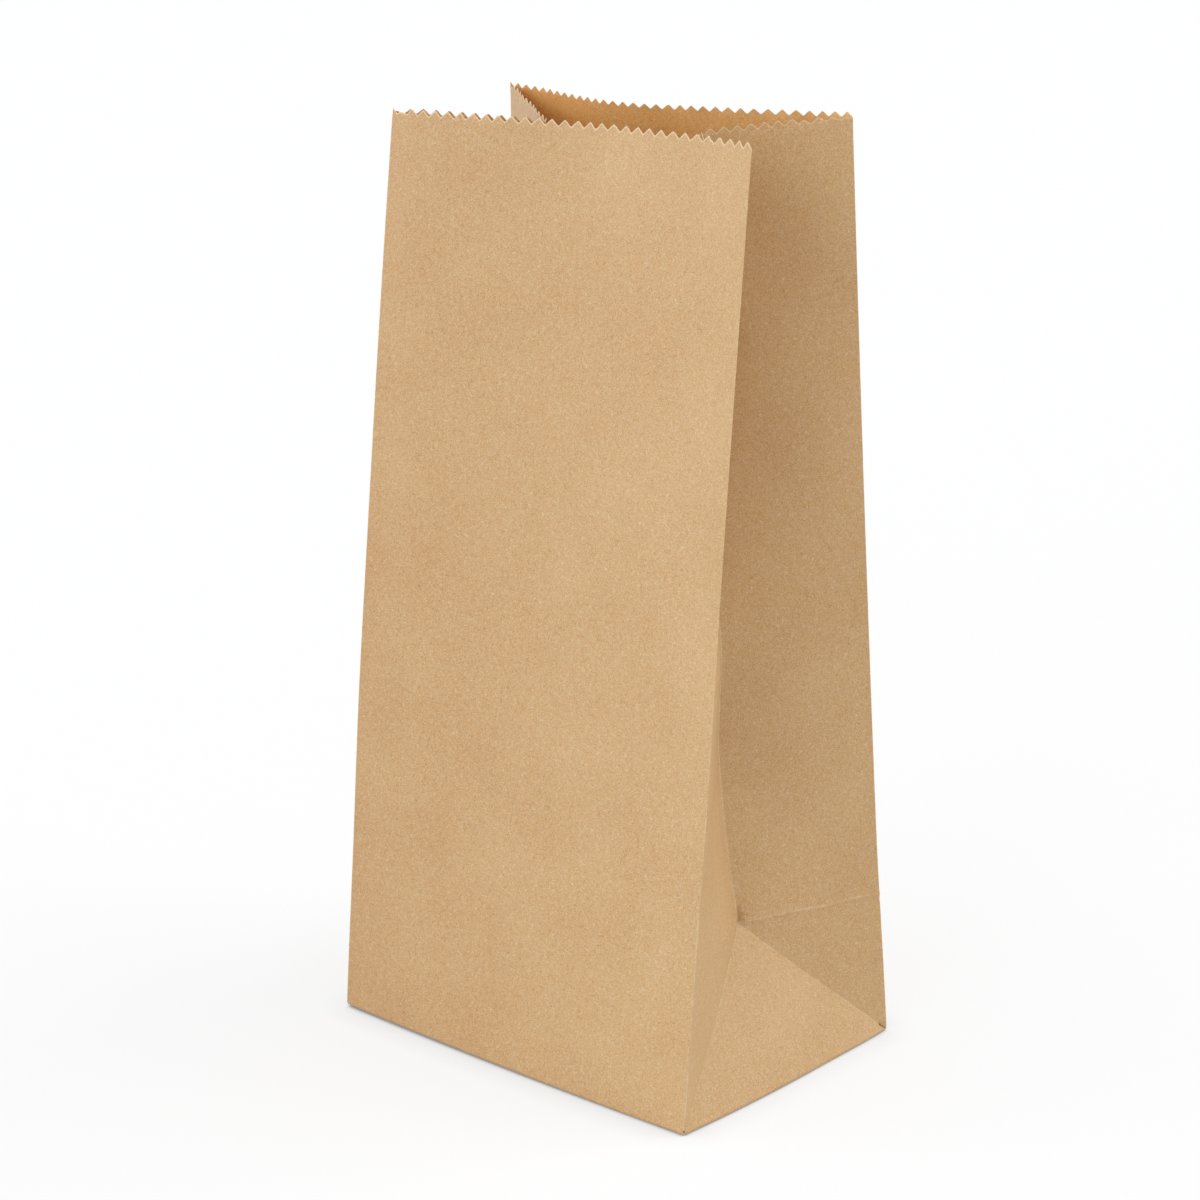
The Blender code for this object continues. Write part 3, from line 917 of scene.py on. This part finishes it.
def fold_wear_highlight_and_shade(n, place, colour):
    """Folds show pale in broken lines, partly rubbed wear and partly painted highlight, and get painted
    shade where they stand open, in the wedge and at the pinhole.
    """
    # Pale lines on folds and the crease, broken in places: rubbed wear and painted highlight
    kept_line = n.band(n.noise(place, KEPT_LINE_SCALE, 3.0, 0.6), *KEPT_LINE_BAND)
    fold = n.times(n.band(n.mark("fold_mm"), *FOLD_BAND_MM), kept_line)
    colour = n.over(colour, n.times(fold, FOLD_STRENGTH), PALE_MARK_AND_HIGHLIGHT)
    crease = n.times(n.band(n.math("ABSOLUTE", n.mark("crease_mm")), *CREASE_BAND_MM), kept_line)
    colour = n.over(colour, n.times(crease, CREASE_STRENGTH), PALE_MARK_AND_HIGHLIGHT)
    # Painted shade where the fold stands open by the rear right foot corner, in the wedge above the apex,
    # and in the pinhole
    slit = n.band(n.mark("slit_mm"), *SLIT_BAND_MM)
    colour = n.over(colour, n.times(slit, SLIT_STRENGTH), PAINTED_GAP_SHADE)
    colour = n.over(colour, n.times(n.mark("wedge"), WEDGE_STRENGTH), PAINTED_GAP_SHADE)
    hole = n.add("ShaderNodeVectorMath", operation="DISTANCE")
    n.join(place, hole, 0)
    hole.inputs[1].default_value = PINHOLE
    pinhole = n.band(hole.outputs["Value"], *PINHOLE_BAND)
    return n.over(colour, n.times(pinhole, PINHOLE_STRENGTH), PAINTED_GAP_SHADE)


def kraft(name, warm, pale, cut_strength, fold_marks=True, mottle=1.0, painted_light=PAINTED_LIGHT_OUTSIDE):
    """Kraft paper: pulp between warm and pale, fibres, specks, painted light brighter towards the right,
    folds pale with wear and painted highlight, painted shade where they stand open, and cut edges pale
    with a painted highlight.
    """
    mat = bpy.data.materials.new(name)
    n = Nodes(mat)
    shader = n.tree.nodes["Principled BSDF"]
    place = n.add("ShaderNodeTexCoord").outputs["Object"]
    cloud = n.swing(place, CLOUD_SCALE, 3.0, 0.5)
    floc = n.swing(place, FLOC_SCALE, 3.0, 0.6)
    grain = n.swing(place, GRAIN_SCALE, 1.0, 0.6)
    lumps = n.swing(place, LUMP_SCALE, 1.0, 0.5)
    broken = n.band(n.noise(place, BREAK_SCALE, 1.0), *BREAK_BAND)
    brown = fibres(n, place, BROWN_SCALE, BROWN_TWIST, BROWN_LEVEL, broken)
    light = fibres(n, place, LIGHT_SCALE, LIGHT_TWIST, LIGHT_LEVEL, n.less(1.0, broken))

    # The pulp varies between warm and pale, and in brightness from fibre to fibre
    tone = n.math("ADD", 0.5, n.times(floc, FLOC_STRENGTH * mottle), clamp=True)
    pulp = n.add("ShaderNodeMix", data_type="RGBA")
    n.join(tone, pulp, 0)
    pulp.inputs[6].default_value = warm
    pulp.inputs[7].default_value = pale
    colour = n.over(pulp.outputs[2], n.times(brown, BROWN_STRENGTH), BROWN_FIBRE)
    colour = n.over(colour, n.times(light, LIGHT_STRENGTH), PALE_FIBRE)
    tone_and_painted_light = n.plus(n.times(cloud, CLOUD_STRENGTH), n.times(grain, GRAIN_STRENGTH))
    tone_and_painted_light = n.plus(tone_and_painted_light, n.times(lumps, LUMP_STRENGTH * mottle ** 2))
    # Painted light: the colour grows brighter towards the bag's right
    tone_and_painted_light = n.plus(tone_and_painted_light, painted_light_across_x(n, place, painted_light))
    grain_and_painted_light = n.add("ShaderNodeVectorMath", operation="MULTIPLY_ADD")
    grain_and_painted_light.inputs[0].default_value = GRAIN_AND_PAINTED_LIGHT_COLOUR
    n.join(tone_and_painted_light, grain_and_painted_light, 1)
    n.join(colour, grain_and_painted_light, 2)

    colour = n.over(grain_and_painted_light.outputs[0], n.times(specks(n, place), SPECK_STRENGTH), SPECK)
    if fold_marks:
        colour = fold_wear_highlight_and_shade(n, place, colour)
    # The cut edge and the seam's edge are painted pale: the paler cut paper and a painted highlight
    cut = n.band(n.mark("cut_mm"), *CUT_BAND_MM)
    colour = n.over(colour, n.times(cut, cut_strength), PALE_MARK_AND_HIGHLIGHT)
    n.join(colour, shader, "Base Color")

    n.join(n.plus(ROUGHNESS, n.times(floc, ROUGHNESS_SPREAD)), shader, "Roughness")
    shader.inputs["Specular IOR Level"].default_value = SPECULAR
    height = n.plus(grain, n.times(floc, FLOC_RELIEF))
    height = n.plus(height, n.times(light, FIBRE_RELIEF))
    bump = n.add("ShaderNodeBump", Strength=BUMP_STRENGTH, Distance=BUMP_HEIGHT)
    n.join(height, bump, "Height")
    n.join(bump.outputs[0], shader, "Normal")
    return mat


# The base's two long flaps. FLAP_GAP keeps them inside the foot's edge, FLAP_SINK sets the front one
# a little into the base above it, and FLAP_STEPS is how finely the edge's curve is drawn.

FLAP_GAP = 0.0002
FLAP_SINK = 0.00003
FLAP_STEPS = 24


def base_edge(side, x):
    share = (x + HALF_W) / PANEL_W
    return side * (HALF_D + BULGE_LONG * belly(share) - FLAP_INSET - FLAP_GAP)


def flap_outline(side):
    free = -side * FLAP_LAP
    corner = HALF_W - FLAP_INSET - FLAP_GAP
    half_free = HALF_W - HALF_D - FLAP_LAP
    points = []
    for i in range(FLAP_STEPS + 1):
        x = -corner + 2 * corner * i / FLAP_STEPS
        points.append((x, base_edge(side, x)))
    teeth = max(round(2 * half_free / FLAP_PITCH), 2)
    for i in range(2 * teeth + 1):
        x = half_free - 2 * half_free * i / (2 * teeth)
        points.append((x, free - side * (FLAP_TOOTH_H if i % 2 else 0.0)))
    return points


def flap(name, side, low, high):
    """One flap as a sheet from low to high; the front one follows the lifted corner."""
    bm = bmesh.new()
    lift = 1.0 if side < 0 else 0.0
    points = [(x, y, high + lift * foot_lift(x, y)) for x, y in flap_outline(side)]
    face = bm.faces.new([bm.verts.new(point) for point in points])
    face.normal_update()
    if face.normal.z < 0:
        face.normal_flip()
    mesh = bpy.data.meshes.new(name)
    bm.to_mesh(mesh)
    bm.free()
    far = np.full(len(mesh.vertices), FAR_MM)
    add_marks(mesh, {"fold_mm": far, "crease_mm": far, "cut_mm": far, "slit_mm": far, "wedge": 0 * far})
    obj = link(name, mesh)
    sheet = obj.modifiers.new("thickness", "SOLIDIFY")
    sheet.thickness = high - low
    sheet.offset = -1.0
    apply_modifiers(obj)
    return obj


# The bag

VISUAL_T = 0.00012
SHARP_ANGLE = math.radians(16)


def make_bag():
    bag = link("paper_bag_sheet", sheet_mesh())
    outside = kraft("kraft_outside", WARM_KRAFT, PALE_KRAFT, 0.75)
    # The inside's colours carry painted light, and they grow brighter towards the right
    inside = kraft("kraft_inside", WARM_INSIDE_PAINTED_LIGHT, PALE_INSIDE_PAINTED_LIGHT, 0.25, mottle=1.7, painted_light=PAINTED_LIGHT_INSIDE)
    cut_edge = kraft("kraft_cut_edge", WARM_KRAFT, PALE_KRAFT, 0.8, fold_marks=False)
    for material in (outside, inside, cut_edge):
        bag.data.materials.append(material)
    shell = bag.modifiers.new("paper", "SOLIDIFY")
    shell.thickness = VISUAL_T
    shell.offset = -1.0
    shell.use_even_offset = True
    shell.use_quality_normals = True
    shell.material_offset = 1
    shell.material_offset_rim = 2
    apply_modifiers(bag)
    flaps = (flap("front_flap", -1, PAPER_T, BASE_LIFT + FLAP_SINK), flap("rear_flap", 1, 0.0, PAPER_T))
    bm = bmesh.new()
    bm.from_mesh(bag.data)
    for piece in flaps:
        bm.from_mesh(piece.data)
        bpy.data.objects.remove(piece, do_unlink=True)
    bm.to_mesh(bag.data)
    bm.free()
    for poly in bag.data.polygons:
        poly.use_smooth = True
    bag.data.set_sharp_from_angle(angle=SHARP_ANGLE)
    # The flat paper keeps its own shading up to each fold
    normals = bag.modifiers.new("normals", "WEIGHTED_NORMAL")
    normals.keep_sharp = True
    apply_modifiers(bag)
    return bag


bag = make_bag()
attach(bag, "root")
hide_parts("paper_bag")


# Floor and white surroundings

FLOOR_REACH = 12.0
FLOOR_DROP = 0.00004
FLOOR_BOUNCE = (0.80, 0.80, 0.80, 1.0)
FLOOR_LIT = (0.90, 0.908, 0.93, 1.0)
FLOOR_GLOW = 1.014
FLOOR_SHADOW = 0.26
WHITE = (1.0, 1.0, 1.0, 1.0)
WORLD_LIGHT = 0.454
WORLD_SEEN = 0.99

# Close to the bag the floor is darker: from how far off, over which openness, and by how much
SHADE_SAMPLES = 6
CONTACT_REACH = 0.010
CONTACT_BAND = (0.10, 0.47)
CONTACT_SHADE = 0.60
HALO_BAND = (0.45, 1.0)
HALO_SHADE = 0.17
LINE_REACH = 0.0017
LINE_BAND = (0.50, 0.80)
LINE_SHADE = 0.42


def directly_seen(n):
    """1 for what the camera sees straight, mirrored or through glass, and 0 for light that bounces."""
    rays = n.add("ShaderNodeLightPath")
    seen = n.math("MAXIMUM", rays.outputs["Is Camera Ray"], rays.outputs["Is Glossy Ray"])
    return n.math("MAXIMUM", seen, rays.outputs["Is Transmission Ray"])


def mix_shaders(n, factor, first, second):
    mix = n.add("ShaderNodeMixShader")
    if isinstance(factor, float):
        mix.inputs[0].default_value = factor
    else:
        n.join(factor, mix, 0)
    n.join(first.outputs[0], mix, 1)
    n.join(second.outputs[0], mix, 2)
    return mix


def openness(n, reach):
    """1 in the open, and less where something stands within reach."""
    node = n.add("ShaderNodeAmbientOcclusion", samples=SHADE_SAMPLES, Distance=reach)
    return node.outputs["AO"]


def shaded(n, open_share, band, shade):
    """The share of light left there, over a band of openness."""
    return n.less(1.0, n.times(n.band(open_share, *band), shade))


def add_floor():
    mesh = bpy.data.meshes.new("floor")
    corners = ((-1, -1), (1, -1), (1, 1), (-1, 1))
    points = [(x * FLOOR_REACH, y * FLOOR_REACH, -FLOOR_DROP) for x, y in corners]
    mesh.from_pydata(points, [], [(0, 1, 2, 3)])
    floor = link("floor", mesh)
    mat = bpy.data.materials.new("white_floor")
    n = Nodes(mat)
    n.tree.nodes.remove(n.tree.nodes["Principled BSDF"])
    plain = n.add("ShaderNodeBsdfDiffuse", Color=FLOOR_BOUNCE)
    lit = n.add("ShaderNodeBsdfDiffuse", Color=FLOOR_LIT)
    around = openness(n, CONTACT_REACH)
    light = n.times(shaded(n, around, CONTACT_BAND, CONTACT_SHADE),
                    shaded(n, openness(n, LINE_REACH), LINE_BAND, LINE_SHADE))
    light = n.times(light, shaded(n, around, HALO_BAND, HALO_SHADE))
    glow = n.add("ShaderNodeEmission", Color=WHITE)
    n.join(n.times(light, FLOOR_GLOW), glow, "Strength")
    shown = mix_shaders(n, FLOOR_SHADOW, glow, lit)
    floor_look = mix_shaders(n, directly_seen(n), plain, shown)
    n.join(floor_look.outputs[0], n.tree.nodes["Material Output"], "Surface")
    mesh.materials.append(mat)
    return floor


def add_world():
    """Soft white light from all round, in front of a white background."""
    world = bpy.data.worlds.new("studio")
    bpy.context.scene.world = world
    n = Nodes(world)
    soft = n.tree.nodes["Background"]
    soft.inputs["Color"].default_value = WHITE
    soft.inputs["Strength"].default_value = WORLD_LIGHT
    white = n.add("ShaderNodeBackground", Color=WHITE, Strength=WORLD_SEEN)
    sky = mix_shaders(n, directly_seen(n), soft, white)
    n.join(sky.outputs[0], n.tree.nodes["World Output"], "Surface")


floor = add_floor()
add_world()


# Soft lights far away, so that the floor is lit evenly: name, strength, where from

LIGHTS = (
    ("left", 0.33, (-0.785, -0.453, 0.423)),
    ("low_left", 0.50, (-0.700, -0.700, 0.139)),
    ("front", 0.60, (0.0, -0.940, 0.342)),
    ("front_right", 0.09, (0.433, -0.750, 0.500)),
    ("back_right", 1.20, (0.542, 0.542, 0.643)),
    ("top", 0.61, (0.0, -0.087, 0.996)),
)
LIGHT_SPREAD = math.radians(50)

for name, strength, source in LIGHTS:
    lamp = bpy.data.lights.new(name, "SUN")
    lamp.energy = strength
    lamp.angle = LIGHT_SPREAD
    light = link(name, lamp)
    light.rotation_mode = "QUATERNION"
    light.rotation_quaternion = Vector(source).to_track_quat("Z", "Y")


# The photograph's camera, from a fit to the base, the folds and the mouth

CAMERA_YAW = 0.75023
CAMERA_PITCH = 0.294475
CAMERA_ROLL = -0.026675
CAMERA_RIGHT = -0.0033063
CAMERA_UP = 0.1106500
CAMERA_BACK = 0.8147325
FOCAL_PIXELS = 3069.082
PHOTO_PIXELS = 1200
SENSOR_W = 36.0


def add_camera():
    """The camera's place is given along its own axes, from the middle of the foot."""
    yaw, pitch = CAMERA_YAW, CAMERA_PITCH
    back = Vector((math.sin(yaw) * math.cos(pitch), -math.cos(yaw) * math.cos(pitch), math.sin(pitch)))
    level = Vector((0, 0, 1)).cross(back).normalized()
    upright = back.cross(level)
    c, s = math.cos(CAMERA_ROLL), math.sin(CAMERA_ROLL)
    right = c * level + s * upright
    up = -s * level + c * upright
    place = right * CAMERA_RIGHT + up * CAMERA_UP + back * CAMERA_BACK
    place.z += BASE_LIFT
    data = bpy.data.cameras.new("camera")
    data.sensor_width = SENSOR_W
    data.lens = SENSOR_W * FOCAL_PIXELS / PHOTO_PIXELS
    data.clip_start, data.clip_end = 0.01, 50.0
    camera = link("camera", data)
    turn = Matrix((right, up, back)).transposed()
    camera.matrix_world = Matrix.Translation(place) @ turn.to_4x4()
    bpy.context.scene.camera = camera


add_camera()
bpy.context.scene.view_settings.view_transform = "Standard"

bpy.context.view_layer.update()
